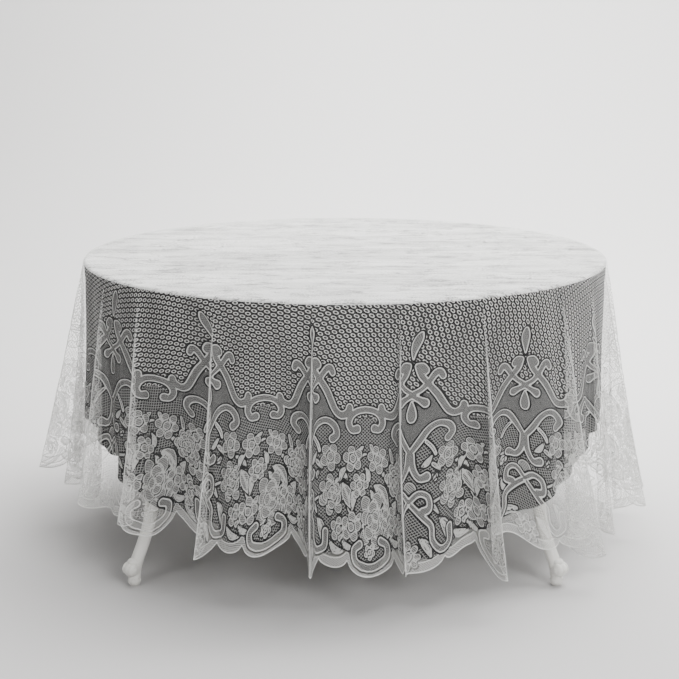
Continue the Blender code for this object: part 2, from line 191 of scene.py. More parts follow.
class Drape:
    """A sheet hung over the table's rim, its spare length taken up by narrow folds that stand out."""

    def __init__(self):
        self.azimuth = np.radians([f[0] for f in FOLDS])
        self.count = len(FOLDS)
        weight = np.array([f[1] for f in FOLDS], float)
        self.gap = np.diff(np.append(self.azimuth, self.azimuth[0] + 2 * math.pi))
        share = (self.gap + np.roll(self.gap, 1)) / 4 * weight
        self.depth = share * math.pi / share.sum()
        self.shift = np.concatenate([[0], np.cumsum(self.depth + np.roll(self.depth, -1) - self.gap)])
        self.shift -= self.shift[:-1].mean()
        self.lean = np.array([f[2] for f in FOLDS], float)
        self.swell = np.array([f[3:] for f in FOLDS], float)
        self.sway = np.random.default_rng(7).uniform(-1, 1, (self.count, 2))

    def gap_of(self, azimuth):
        """Which gap between folds an azimuth is in, and how far along it, 0 to 1."""
        turned, starts = np.mod(azimuth - self.azimuth[0], 2 * math.pi), self.azimuth - self.azimuth[0]
        which = np.clip(np.searchsorted(starts, turned, side="right") - 1, 0, self.count - 1)
        return which, (turned - starts[which]) / self.gap[which]

    def radius(self, azimuth, drop):
        """How far from the table's axis the flat of the sheet hangs."""
        which, t = self.gap_of(azimuth)
        c_out, a_out, c_in, a_in = (self.swell[which, k] for k in range(4))
        ends = smoothstep(t / 0.15) * smoothstep((1 - t) / 0.15)
        wave = a_out * np.exp(-((t - c_out) / 0.25) ** 2) - a_in * np.exp(-((t - c_in) / 0.20) ** 2)
        reach = LACE_LIFT + STAND_OFF * (1 - np.exp(-drop / 0.03)) + FLARE * (drop / FULL_DROP) ** 2
        return RIM_RADIUS + reach + wave * ends * smoothstep(drop / 0.55)

    def fold_line(self, i, drop):
        """One fold at one drop: its middle line and half thickness from the root out, tip and azimuth."""
        k = i % self.count
        azimuth = self.azimuth[k] + 2 * math.pi * (i // self.count)
        depth = self.depth[k] * drop * 0.97
        azimuth += 0.012 * self.sway[k, 0] * math.sin(6 * drop + 3 * self.sway[k, 1]) * min(1, drop / 0.3)
        radius = float(self.radius(np.array(azimuth), drop))
        lean = self.lean[k] * float(smoothstep(drop / 0.6))
        out = np.array([math.sin(azimuth + lean), -math.cos(azimuth + lean)])
        side = np.array([-out[1], out[0]])
        root = radius * np.array([math.sin(azimuth), -math.cos(azimuth)])
        wide = 0.016 * float(smoothstep(drop / 0.25)) + 0.0015
        thin = 0.0030 * float(smoothstep(drop / 0.30)) + 0.0008
        line = []
        for share, half in ((0.08, wide), (0.30, (wide + 3 * thin) / 4), (0.65, thin), (0.97, thin)):
            line.append((root + out * depth * share, side * half))
        return line, root + out * depth * 1.03, azimuth

    def section(self, i, drop):
        """The sheet's path in plan from the tip of fold i to the tip of fold i + 1, at one drop."""
        line_a, tip_a, az_a = self.fold_line(i, drop)
        line_b, tip_b, az_b = self.fold_line(i + 1, drop)
        points = [tip_a] + [c + s for c, s in reversed(line_a)]
        for t in np.linspace(0.12, 0.88, 8):
            az = az_a + (az_b - az_a) * t
            points.append(np.array([math.sin(az), -math.cos(az)]) * float(self.radius(np.array(az), drop)))
        points += [c - s for c, s in line_b] + [tip_b]
        return spline(points, 8)

    def hang(self, material, drop):
        """Where points with these material angles hang, all at one drop.

        For each: its place in plan, the share it is lifted by, and its distance to the nearest fold's tip.
        """
        spread = drop / (RIM_RADIUS + drop)
        start = self.azimuth + self.shift[:-1] * spread
        angle = start[0] + np.mod(material - start[0], 2 * math.pi)
        edges = np.append(start, start[0] + 2 * math.pi)
        which = np.clip(np.searchsorted(edges, angle, side="right") - 1, 0, self.count - 1)
        place, along, to_tip = np.zeros((len(material), 2)), np.zeros(len(material)), np.zeros(len(material))
        for i in range(self.count):
            mine = which == i
            if not mine.any():
                continue
            path = self.section(i, drop)
            length = np.concatenate([[0], np.cumsum(np.linalg.norm(np.diff(path, axis=0), axis=1))])
            along[mine] = (angle[mine] - edges[i]) / (edges[i + 1] - edges[i])
            at = along[mine] * length[-1]
            place[mine] = np.column_stack([np.interp(at, length, path[:, axis]) for axis in (0, 1)])
            to_tip[mine] = np.minimum(along[mine], 1 - along[mine]) * length[-1]
        c_in, rise = self.swell[which, 2], self.swell[which, 4]
        lift = rise * np.exp(-((along - (0.2 + 0.6 * c_in)) / 0.17) ** 2)
        return np.column_stack([place, lift, to_tip])


def lace_hem(angle):
    """Distance of the lace's scalloped hem from its middle: round lobes of three sizes in every repeat."""
    half = math.pi / LACE_REPEATS
    across = np.abs(np.mod(angle - FIRST_AXIS + half, 2 * half) - half) * LACE_RADIUS
    hem = np.full_like(across, HEM_NOTCH)
    for centre, half_width, peak in HEM_LOBES:
        t = np.clip(1 - ((across - centre) / half_width) ** 2, 0, 1)
        hem = np.maximum(hem, HEM_NOTCH + (peak - HEM_NOTCH) * t ** 0.55)
    return hem


# ---------------------------------------------------------------- the lace's pattern
# Everything is in metres in the flat cloth, in half a repeat: first across from the repeat's axis or from
# the boundary between repeats, then out from the middle of the cloth. A band is its points, then its half
# width at each point.
AXIS_BANDS = (
    (((0, .803), (0, .815), (0, .830), (0, .862)), (.008, .013, .012, .003)),
    (((.031, .889), (.024, .881), (.012, .880)), (.011, .010, .008)),
    (((.012, .880), (.022, .903), (.044, .926), (.066, .948), (.084, .972), (.102, .994), (.122, 1.002),
      (.141, .991), (.143, .978)),
     (.008, .009, .009, .010, .010, .010, .011, .012, .011)),
    (((.078, .902), (.070, .892), (.058, .896), (.042, .918), (.022, .938), (.000, .951), (.018, .962),
      (.034, .970)),
     (.009, .010, .009, .008, .007, .007, .008, .012)),
    (((0, .968), (0, .985), (0, 1.002), (0, 1.012)), (.003, .010, .014, .012)),
    (((0, 1.108), (.024, 1.072), (.048, 1.038), (.076, 1.024), (.104, 1.034), (.116, 1.056), (.104, 1.070)),
     (.007, .009, .009, .009, .010, .010, .012)),
    (((.004, 1.110), (.008, 1.140), (.024, 1.162), (.044, 1.158)), (.008, .008, .008, .011)),
    (((.042, 1.074), (.058, 1.090), (.068, 1.108)), (.005, .005, .004)),
    (((0, 1.214), (.024, 1.196), (.048, 1.204), (.052, 1.226), (.034, 1.232)),
     (.006, .007, .007, .008, .009)),
    (((.006, 1.220), (.036, 1.244), (.058, 1.262), (.062, 1.290), (.086, 1.312), (.112, 1.304),
      (.112, 1.274)),
     (.006, .007, .007, .007, .008, .008, .009)),
)
EDGE_BANDS = (
    (((0, .992), (.026, .996), (.046, 1.008), (.054, 1.028), (.044, 1.046), (.028, 1.044)),
     (.009, .009, .010, .010, .010, .012)),
    (((.030, 1.346), (.050, 1.332), (.052, 1.308), (.034, 1.298)), (.009, .008, .008, .009)),
    (((0, 1.352), (.016, 1.350), (.032, 1.344)), (.009, .009, .009)),
)
# flowers and leaves over the whole repeat: (across, out, size, petals, turn)
AXIS_FLOWERS = (
    (0, 1.188, .017, 0, 0), (.104, 1.116, .033, 5, .3), (-.098, 1.130, .032, 5, 1.1),
    (.066, 1.160, .010, 3, .2), (-.062, 1.176, .013, 3, 1.4), (0, 1.322, .032, 8, 0),
    (-.112, 1.194, .034, 6, .5), (.122, 1.196, .044, 7, .8), (-.128, 1.268, .040, 6, .2),
    (.152, 1.262, .026, 5, .6),
)
EDGE_FLOWERS = (
    (.036, 1.126, .034, 6, .2), (-.044, 1.120, .031, 5, .8), (-.026, 1.180, .029, 6, .5),
    (.014, 1.256, .058, 7, .1), (-.058, 1.262, .030, 5, .4), (.070, 1.258, .030, 6, .9),
    (-.004, 1.318, .018, 5, 0), (.096, 1.170, .040, 6, .5),
)
AXIS_LEAVES = (
    (((.052, 1.126), (.066, 1.134), (.082, 1.146)), (.002, .005, .002)),
    (((.050, 1.214), (.062, 1.222), (.078, 1.238)), (.002, .005, .002)),
    (((.030, 1.136), (.044, 1.128), (.058, 1.112)), (.002, .007, .002)),
    (((-.024, 1.290), (-.044, 1.296), (-.066, 1.288)), (.003, .009, .003)),
    (((.028, 1.286), (.046, 1.300), (.058, 1.322)), (.003, .010, .004)),
    (((-.048, 1.256), (-.062, 1.240), (-.070, 1.218)), (.003, .007, .002)),
    (((.018, 1.228), (.056, 1.216), (.100, 1.204)), (.002, .0025, .002)),
    (((-.020, 1.300), (-.070, 1.306), (-.110, 1.286)), (.002, .0025, .002)),
    (((-.146, 1.208), (-.164, 1.228), (-.172, 1.252)), (.003, .011, .003)),
    (((.164, 1.196), (.182, 1.210), (.192, 1.232)), (.003, .010, .003)),
    (((.082, 1.250), (.098, 1.266), (.104, 1.292)), (.003, .010, .003)),
    (((-.078, 1.214), (-.092, 1.236), (-.096, 1.258)), (.003, .008, .003)),
    (((.130, 1.140), (.150, 1.144), (.166, 1.156)), (.003, .008, .002)),
    (((-.124, 1.150), (-.146, 1.156), (-.160, 1.172)), (.003, .009, .002)),
    (((-.160, 1.290), (-.146, 1.306), (-.122, 1.316)), (.003, .009, .003)),
    (((.128, 1.290), (.146, 1.304), (.170, 1.302)), (.003, .009, .003)),
    (((-.040, 1.152), (-.052, 1.160), (-.070, 1.156)), (.002, .006, .002)),
)
EDGE_LEAVES = (
    (((-.078, 1.176), (-.066, 1.198), (-.056, 1.222)), (.004, .015, .005)),
    (((-.034, 1.178), (-.044, 1.200), (-.052, 1.226)), (.003, .009, .003)),
    (((.024, 1.186), (.046, 1.200), (.060, 1.226)), (.004, .014, .006)),
    (((.010, 1.196), (.020, 1.212), (.034, 1.228)), (.003, .008, .004)),
    (((-.010, 1.092), (-.020, 1.100), (-.030, 1.112)), (.002, .006, .002)),
    (((.012, 1.088), (.018, 1.096), (.020, 1.108)), (.002, .006, .002)),
    (((.076, 1.100), (.082, 1.118), (.084, 1.140)), (.003, .006, .003)),
    (((-.086, 1.290), (-.074, 1.300), (-.056, 1.304)), (.003, .007, .003)),
    (((.060, 1.290), (.078, 1.300), (.094, 1.292)), (.003, .008, .003)),
    (((-.004, 1.142), (.004, 1.160), (.000, 1.184)), (.002, .007, .003)),
    (((.044, 1.156), (.058, 1.164), (.072, 1.192)), (.002, .006, .003)),
    (((-.066, 1.140), (-.080, 1.150), (-.086, 1.168)), (.002, .007, .002)),
    (((-.020, 1.120), (-.006, 1.112), (.012, 1.116)), (.002, .0025, .002)),
)
# a distance that stands for "nowhere near", half the line between petals, and the line left round each shape
FAR = 0.05
PETAL_LINE = 0.0012
OPEN_LINE = 0.0036
# the pattern is drawn at the first radii and worked into the cloth at the second
DRAWN_AT = (0, .5, .795, .992, 1.108, 1.200, 1.300, 1.372)
CUT_AT = (0, .5, .774, .964, 1.066, 1.166, 1.290, 1.372)
# where the plain ground starts and ends: across from the repeat's axis, out from the middle
PLAIN_TOP = ((0, .958), (.030, .944), (.066, .948), (.084, .972), (.102, .994), (.141, .998), (.160, 1.010),
             (.196, .992))
PLAIN_END = ((0, 1.108), (.024, 1.072), (.048, 1.038), (.076, 1.024), (.104, 1.034), (.125, 1.040),
             (.145, 1.030), (.160, 1.010), (.196, .992))
# how far the cords and the flowers stand out from the net
RELIEF = 0.0009
# plain wreaths on the top: distance from the middle, and how far they wave in and out
WREATHS = ((0.575, 0.016), (0.42, 0.010))


def smooth_path(points, widths, steps=3):
    """The band's points joined by a smooth curve through them, with its half widths."""
    p = np.column_stack([points, widths])
    p = np.vstack([2 * p[0] - p[1], p, 2 * p[-1] - p[-2]])
    t = np.arange(steps)[:, None] / steps
    spans = []
    for a, b, c, d in zip(p, p[1:], p[2:], p[3:]):
        curve = (2 * a - 5 * b + 4 * c - d) * t ** 2 + (3 * b - a - 3 * c + d) * t ** 3
        spans.append(0.5 * (2 * b + (c - a) * t + curve))
    made = np.vstack(spans + [p[-2][None]])
    return made[:, :2], made[:, 2]


def to_band(x, y, points, widths):
    """Signed distance to a band of changing width: less than 0 inside it, and FAR well away from it."""
    if len(points) > 2:
        points, widths = smooth_path(points, widths)
    points, margin = np.asarray(points), max(widths) + 0.015
    low, high = points.min(0) - margin, points.max(0) + margin
    near = (x > low[0]) & (x < high[0]) & (y > low[1]) & (y < high[1])
    px, py = x[near], y[near]
    best = np.full_like(px, FAR)
    for (ax, ay), (bx, by), wa, wb in zip(points, points[1:], widths, widths[1:]):
        dx, dy = bx - ax, by - ay
        t = np.clip(((px - ax) * dx + (py - ay) * dy) / (dx * dx + dy * dy), 0, 1)
        best = np.minimum(best, np.hypot(px - ax - t * dx, py - ay - t * dy) - wa - (wb - wa) * t)
    distance = np.full_like(x, FAR)
    distance[near] = np.minimum(best, FAR)
    return distance


def petal_ring(r, angle, size, petals):
    """Signed distance to a ring of round petals with open lines between them, or to a round eye."""
    if not petals:
        return r - size
    from_axis = np.abs(np.mod(angle + math.pi / petals, 2 * math.pi / petals) - math.pi / petals)
    edge = size * (0.58 + 0.42 * np.maximum(0, np.cos(from_axis * petals / 2)) ** 0.7)
    return np.maximum(r - edge, PETAL_LINE - r * (math.pi / petals - from_axis))


def lay_over(below, shape):
    """A shape laid over others, with a narrow open line left round it."""
    return np.minimum(shape, np.maximum(below, OPEN_LINE - shape))


def to_flower(x, y, flower):
    """Signed distance to a flower: petals round an eye, or three rings of petals in a rose."""
    cx, cy, size, count, turn = flower
    r, angle = np.hypot(x - cx, y - cy), np.arctan2(x - cx, y - cy) - turn
    if not count:
        return r - size
    shape = petal_ring(r, angle, size, count)
    rings = ((0.30, 0, 0.0),) if size < 0.035 else ((0.68, 5, 0.5), (0.36, 3, 0.2))
    for share, petals, shift in rings:
        shape = lay_over(shape, petal_ring(r, angle - shift, share * size, petals))
    return shape


def lace_pattern(x, y):
    """For flat points: how far they are from the scrolls and the flowers, less than 0 inside them, and how
    deep they lie in the plain ground and in the part below it, more than 0 inside them."""
    rho, angle = np.hypot(x, y), np.arctan2(x, -y)
    rho = np.interp(rho, CUT_AT, DRAWN_AT)
    half = math.pi / LACE_REPEATS
    turned = np.mod(angle - FIRST_AXIS + half, 2 * half) - half
    ax, ay = rho * np.sin(turned), rho * np.cos(turned)
    edge = np.mod(angle - FIRST_AXIS, 2 * half) - half
    ex, ey = rho * np.sin(edge), rho * np.cos(edge)
    scroll = np.full_like(rho, FAR)
    for bands, u, v in ((AXIS_BANDS, np.abs(ax), ay), (EDGE_BANDS, np.abs(ex), ey)):
        for points, widths in bands:
            scroll = np.minimum(scroll, to_band(u, v, points, widths))
    bloom = np.full_like(rho, FAR)
    for flowers, leaves, u, v in ((AXIS_FLOWERS, AXIS_LEAVES, ax, ay), (EDGE_FLOWERS, EDGE_LEAVES, ex, ey)):
        for points, widths in leaves:
            vein = to_band(u, v, points, (0.0008,) * len(points)) if max(widths) > 0.006 else FAR
            bloom = lay_over(bloom, np.maximum(to_band(u, v, points, widths), -vein))
        for flower in flowers:
            near = np.hypot(u - flower[0], v - flower[1]) < flower[2] + 0.012
            bloom[near] = lay_over(bloom[near], to_flower(u[near], v[near], flower))
    across = np.abs(turned)
    top, end = (np.interp(across, [p[0] / 0.9984 for p in line], [p[1] for p in line])
                for line in (PLAIN_TOP, PLAIN_END))
    plain = np.minimum(ay - top, end - ay)
    lower = ay - end
    for reach, size in WREATHS:
        wreath = np.abs(rho - reach - size * np.cos(LACE_REPEATS * 2 * angle)) - 0.0055
        scroll = np.minimum(scroll, wreath)
    return scroll, bloom, plain, lower


def hang_ring(drape, azimuth, drop):
    """One ring of the hanging lace: its place in plan, how far down it is, and its distance to a crease."""
    span = drop.max() - drop.min()
    levels = np.linspace(drop.min(), drop.max(), 6) if span > 1e-4 else np.array([drop.mean()])
    stack = np.stack([drape.hang(azimuth, d) for d in levels])
    t = np.interp(drop, levels, np.arange(len(levels)))
    low = np.clip(np.floor(t).astype(int), 0, len(levels) - 2)
    f = (t - low)[:, None]
    every = np.arange(len(drop))
    mixed = stack[low, every] * (1 - f) + stack[low + 1, every] * f
    place = mixed[:, :2]
    hung = RIM_RADIUS + LACE_LIFT + STAND_OFF + FLARE * (drop / FULL_DROP) ** 2
    out = np.maximum(0, np.linalg.norm(place, axis=1) - hung)
    down = np.sqrt(np.maximum(drop ** 2 - out ** 2, (0.6 * drop) ** 2))
    down *= 1 - mixed[:, 2] * smoothstep(drop / 0.5)
    crease = mixed[:, 3] + 0.004 * (1 - smoothstep((drop - 0.03) / 0.15))
    return place, down, crease


def work_pattern(cloth, points, flat, crease):
    """Writes the pattern's distances on the lace's points, and raises its cords and flowers a little."""
    scroll, bloom, plain, lower = lace_pattern(flat[:, 0], flat[:, 1])
    rho, angle = np.hypot(flat[:, 0], flat[:, 1]), np.arctan2(flat[:, 0], -flat[:, 1])
    tone = noise(angle, rho * 0.25, 0.17, 21)
    for name, values in (("scroll", scroll), ("bloom", bloom), ("plain", plain), ("lower", lower),
                         ("hem", lace_hem(angle) - rho), ("tone", tone), ("crease", crease)):
        add_values(cloth, name, values)
    relief = RELIEF * smoothstep(-np.minimum(scroll, bloom) / 0.004 + 0.5)
    normal = np.zeros(len(points) * 3, np.float32)
    cloth.data.vertices.foreach_get("normal", normal)
    raised = points + normal.reshape(-1, 3) * relief[:, None]
    cloth.data.vertices.foreach_set("co", raised.astype(np.float32).ravel())
    cloth.data.update()


def build_lace():
    """The lace: a disc cut to its scalloped hem, laid off centre and hung over the rim."""
    drape = Drape()
    centre = np.array([LACE_OFF_CENTRE, 0.0])
    angle = np.arange(LACE_COLUMNS) / LACE_COLUMNS * 2 * math.pi
    way = round_way(angle)
    along = way @ centre
    rim = -along + np.sqrt(RIM_RADIUS ** 2 - centre @ centre + along ** 2)
    top_z = TOP_Z + LACE_LIFT
    points, flat, rings, creases = [], [], [], []

    def add_ring(place, z, rho, theta, crease=FAR):
        creases.append(np.broadcast_to(crease, (len(theta),)))
        start = sum(len(p) for p in points)
        points.append(np.column_stack([place, z]))
        flat.append(np.column_stack([rho * np.sin(theta), -rho * np.cos(theta)]))
        rings.append(np.arange(start, start + len(theta)))

    corner = EDGE_RADIUS + LACE_LIFT
    # the top, from the middle outwards on every fourth column, then all columns
    coarse = angle[::4]
    for share in np.linspace(0.004, 0.9, 56):
        rho = rim[::4] * share
        place = centre + way[::4] * rho[:, None]
        add_ring(place, np.full(len(coarse), top_z), rho, coarse)
    coarse_rings = len(rings)
    for share in np.linspace(0.915, 0.990, 12):
        rho = rim * share
        place = centre + way * rho[:, None]
        add_ring(place, np.full(len(angle), top_z), rho, angle)
    # round the edge of the top, then down
    on_rim = centre + way * rim[:, None]
    azimuth = np.arctan2(on_rim[:, 0], -on_rim[:, 1])
    for turn in np.linspace(0.1, 0.9, 4) * math.pi / 2:
        radius = RIM_RADIUS - EDGE_RADIUS + corner * math.sin(turn)
        z = top_z - corner * (1 - math.cos(turn))
        rho = rim - EDGE_RADIUS + corner * turn
        add_ring(round_way(azimuth) * radius, np.full(len(angle), z), rho, angle)
    start = rim - EDGE_RADIUS + corner * math.pi / 2
    azimuth = angle + np.mod(azimuth - angle + math.pi, 2 * math.pi) - math.pi
    slide = np.radians(np.interp(np.degrees(angle), SLIDE_AT, SLIDE_BY, period=360))
    fall = lace_hem(angle) - start
    for share in (np.arange(1, LACE_ROWS + 1) / LACE_ROWS) ** 0.95:
        drop = share * fall
        place, down, crease = hang_ring(drape, azimuth + slide * smoothstep(drop / 0.12), drop)
        add_ring(place, top_z - corner - down, start + drop, angle, crease)
    faces = []
    for k, (a, b) in enumerate(zip(rings, rings[1:]), 1):
        faces += stitch_faces(a, b) if k == coarse_rings else ring_faces(a, b)
    faces.append(list(rings[0][::-1]))
    faces = [f[::-1] for f in faces]
    points, flat = np.vstack(points), np.vstack(flat)
    inside = smoothstep((RIM_RADIUS - np.hypot(points[:, 0], points[:, 1])) / 0.02)
    points[:, 2] += inside * top_wrinkles(points[:, 0], points[:, 1])
    cloth = add_mesh("lace_cloth", points, faces, flat / (2 * LACE_RADIUS * UV_SPAN) + 0.5)
    work_pattern(cloth, points, flat, np.concatenate(creases))
    return cloth


def hem_heights(cloth, count):
    """The height of a cloth's hem at even steps round the table, the highest point near each."""
    place = np.zeros(len(cloth.data.vertices) * 3)
    cloth.data.vertices.foreach_get("co", place)
    hem = place.reshape(-1, 3)[-LACE_COLUMNS:]
    azimuth = np.arctan2(hem[:, 0], -hem[:, 1])
    heights = []
    for k in range(count):
        away = np.mod(azimuth - 2 * math.pi * k / count + math.pi, 2 * math.pi) - math.pi
        heights.append(hem[np.abs(away) < math.radians(1.6), 2].max())
    return np.array(heights)


def build_under_cloth(hem_above):
    """The dark oval cloth: flat on the top, then hung inside the lace with soft folds that turn inwards."""
    drape = Drape()
    columns, rows = 768, 64
    azimuth = np.arange(columns) / columns * 2 * math.pi
    way = round_way(azimuth)
    reach = 1 / np.sqrt((way[:, 0] / UNDER_HALF_WIDTH) ** 2 + (way[:, 1] / UNDER_HALF_LENGTH) ** 2)
    corner = EDGE_RADIUS + UNDER_LIFT
    top_z = TOP_Z + UNDER_LIFT
    points, flat = [np.array([[0, 0, top_z]])], [np.zeros((1, 2))]

    def add_ring(radius, z, rho):
        place = way * np.asarray(radius).reshape(-1, 1)
        points.append(np.column_stack([place, np.broadcast_to(z, (columns,))]))
        flat.append(way * np.asarray(rho).reshape(-1, 1))

    for share in np.linspace(0.05, 1, 14):
        add_ring((RIM_RADIUS - EDGE_RADIUS) * share, top_z, (RIM_RADIUS - EDGE_RADIUS) * share)
    for turn in np.linspace(0.2, 0.8, 3) * math.pi / 2:
        add_ring(RIM_RADIUS - EDGE_RADIUS + corner * math.sin(turn), top_z - corner * (1 - math.cos(turn)),
                 RIM_RADIUS - EDGE_RADIUS + corner * turn)
    start = RIM_RADIUS - EDGE_RADIUS + corner * math.pi / 2
    steps = np.arange(len(hem_above) + 1) / len(hem_above) * 2 * math.pi
    highest = np.interp(azimuth, steps, np.append(hem_above, hem_above[0]))
    bared = np.exp(-((azimuth - math.radians(31)) / math.radians(5)) ** 2)
    fall = np.minimum(reach - start, top_z - corner - highest + 0.004 + 0.05 * bared)
    to_leg = np.mod(azimuth, math.pi / 2) - math.pi / 4
    clear = smoothstep((np.abs(to_leg) - math.radians(5)) / math.radians(7))
    for share in np.arange(1, rows + 1) / rows:
        drop = share * fall
        swing = np.interp(azimuth, np.linspace(0, 2 * math.pi, 6), [0.1, 0.4, -0.3, 0.5, -0.2, 0.1])
        pinch = np.abs(np.cos(UNDER_FOLDS / 2 * azimuth + swing + 0.4 * drop)) ** 4 * clear
        outer = drape.radius(azimuth, np.minimum(drop, 0.62)) - 0.009
        inner = 0.07 * drop * pinch + 0.02 * drop * clear
        on_table = RIM_RADIUS + UNDER_LIFT - 0.25 * np.maximum(0, drop - 0.028)
        down = drop * (1 - 0.02 * pinch)
        add_ring(np.maximum(outer - inner, on_table), top_z - corner - down, start + drop)
    faces = disc_faces(columns, len(points) - 1)
    uv = np.vstack(flat) / (2 * UNDER_HALF_LENGTH * UV_SPAN) + 0.5
    return add_mesh("under_cloth_draped", np.vstack(points), faces, uv)


def top_wrinkles(x, y):
    """Height of the soft wrinkles in the cloths on top, mostly running from side to side."""
    wide = noise(x * 0.45, y * 2.2, 0.36, 3, 3)
    fine = noise(x * 0.30, y * 1.6, 0.075, 11, 2)
    height = 0.0013 * wide + 0.0009 * fine
    return 0.0005 * np.logaddexp(0, height / 0.0005)


def build_liner():
    """The pale round liner on the top, under the lace."""
    columns, rows = 384, 70
    azimuth = np.arange(columns) / columns * 2 * math.pi
    way = round_way(azimuth)
    points, flat = [np.array([[0, 0, 0]])], [np.zeros((1, 2))]
    turn_in = RIM_RADIUS - EDGE_RADIUS
    for share in np.arange(1, rows + 1) / rows:
        points.append(np.column_stack([way * turn_in * share, np.zeros(columns)]))
        flat.append(way * turn_in * share)
    corner = EDGE_RADIUS + LINER_LIFT
    for turn in LINER_TURNS:
        fall = np.full(columns, -corner * (1 - math.cos(turn)))
        points.append(np.column_stack([way * (turn_in + corner * math.sin(turn)), fall]))
        flat.append(way * (turn_in + corner * turn))
    points, flat = np.vstack(points), np.vstack(flat)
    inside = smoothstep((turn_in - np.hypot(points[:, 0], points[:, 1])) / 0.02)
    points[:, 2] += TOP_Z + LINER_LIFT + inside * top_wrinkles(points[:, 0], points[:, 1])
    uv = flat / (2 * LINER_RADIUS * UV_SPAN) + 0.5
    return add_mesh("liner_laid", points, disc_faces(columns, rows + len(LINER_TURNS)), uv)


# ---------------------------------------------------------------- materials
class Shader:
    """A short way to write a node tree."""

    def __init__(self, name):
        self.material = bpy.data.materials.new(name)
        self.material.use_nodes = True
        self.tree = self.material.node_tree
        self.surface = self.tree.nodes["Principled BSDF"]

    def node(self, kind, inputs=(), **settings):
        made = self.tree.nodes.new(kind)
        for key, value in settings.items():
            setattr(made, key, value)
        for place, value in dict(inputs).items():
            self.put(made.inputs[place], value)
        return made

    def put(self, place, value):
        if isinstance(value, bpy.types.NodeSocket):
            self.tree.links.new(value, place)
        else:
            place.default_value = value

    def math(self, operation, a, b=0.0, c=0.0, clamp=False):
        made = self.node("ShaderNodeMath", {0: a, 1: b, 2: c}, operation=operation, use_clamp=clamp)
        return made.outputs[0]

    def value(self, name):
        return self.node("ShaderNodeAttribute", attribute_name=name).outputs["Fac"]

    def step(self, value, low, high):
        """0 below low, 1 above high (or the other way round when low is above high)."""
        made = self.node("ShaderNodeMapRange", {0: value, 1: low, 2: high, 3: 0.0, 4: 1.0},
                         interpolation_type="SMOOTHSTEP")
        return made.outputs[0]

    def mix(self, factor, a, b):
        """a where factor is 0, b where it is 1."""
        made = self.node("ShaderNodeMix", {0: factor, 2: a, 3: b}, data_type="FLOAT")
        return made.outputs[0]

    def colour(self, factor, a, b):
        made = self.node("ShaderNodeMix", data_type="RGBA")
        self.put(made.inputs[0], factor)
        self.put(made.inputs[6], a)
        self.put(made.inputs[7], b)
        return made.outputs[2]

    def noise(self, vector, scale, detail=3.0):
        made = self.node("ShaderNodeTexNoise", {"Vector": vector, "Scale": scale, "Detail": detail})
        return made.outputs["Fac"]

    def place(self):
        """Where the point is in the object's own space."""
        return self.node("ShaderNodeTexCoord").outputs["Object"]

    def stretched(self, by):
        """The place, scaled along each axis."""
        return self.node("ShaderNodeVectorMath", {0: self.place(), 1: by}, operation="MULTIPLY").outputs[0]

    def look(self, **values):
        """Sets the surface's inputs, named with _ for a space."""
        for name, value in values.items():
            self.put(self.surface.inputs[name.replace("_", " ")], value)
        return self.material

    def split(self, vector):
        return self.node("ShaderNodeSeparateXYZ", {0: vector}).outputs

    def bump(self, height, strength, distance, **more):
        """The normal of a surface raised by height times distance."""
        inputs = {"Strength": strength, "Distance": distance, "Height": height, **more}
        return self.node("ShaderNodeBump", inputs).outputs[0]


# how closely the small creases of a laid cloth follow each other along each axis, per metre
CREASES = (4.5, 46.0, 9.0)
# the lace's thread, and the same thread with painted shade for the creases on the top
THREAD, THREAD_SHADED = (0.76, 0.76, 0.735, 1), (0.10, 0.10, 0.098, 1)
# each close cloth: its thread, the same thread with painted shade for the creases, thread pitch, roughness,
# sheen, depth of the creases
UNDER_WEAVE = ((0.012, 0.012, 0.013, 1), (0.006, 0.006, 0.007, 1), 0.0008, 0.9, 0.05, 0.0010)
LINER_WEAVE = ((0.66, 0.66, 0.645, 1), (0.07, 0.07, 0.068, 1), 0.0012, 0.85, 0.1, 0.0060)


def crumple(s, height=0.0030):
    """Small soft creases that run mostly from side to side."""
    return s.bump(s.noise(s.stretched(CREASES), 1.0, 4.0), 1.0, height)


def painted_crease_shade(s):
    """Painted shade for a cloth's colour: 0 in thin creases that run mostly from side to side, up to 1 on
    the smooth cloth between them, and down to 0.75 in broad patches.
    """
    folds = s.stretched(CREASES)
    broad = s.step(s.noise(folds, 0.4, 3.0), 0.36, 0.62)
    from_crease = s.math("ABSOLUTE", s.math("SUBTRACT", s.noise(folds, 1.0, 5.0), 0.5))
    return s.math("MULTIPLY", s.step(from_crease, 0.001, 0.036), s.math("MULTIPLY_ADD", broad, 0.25, 0.75))


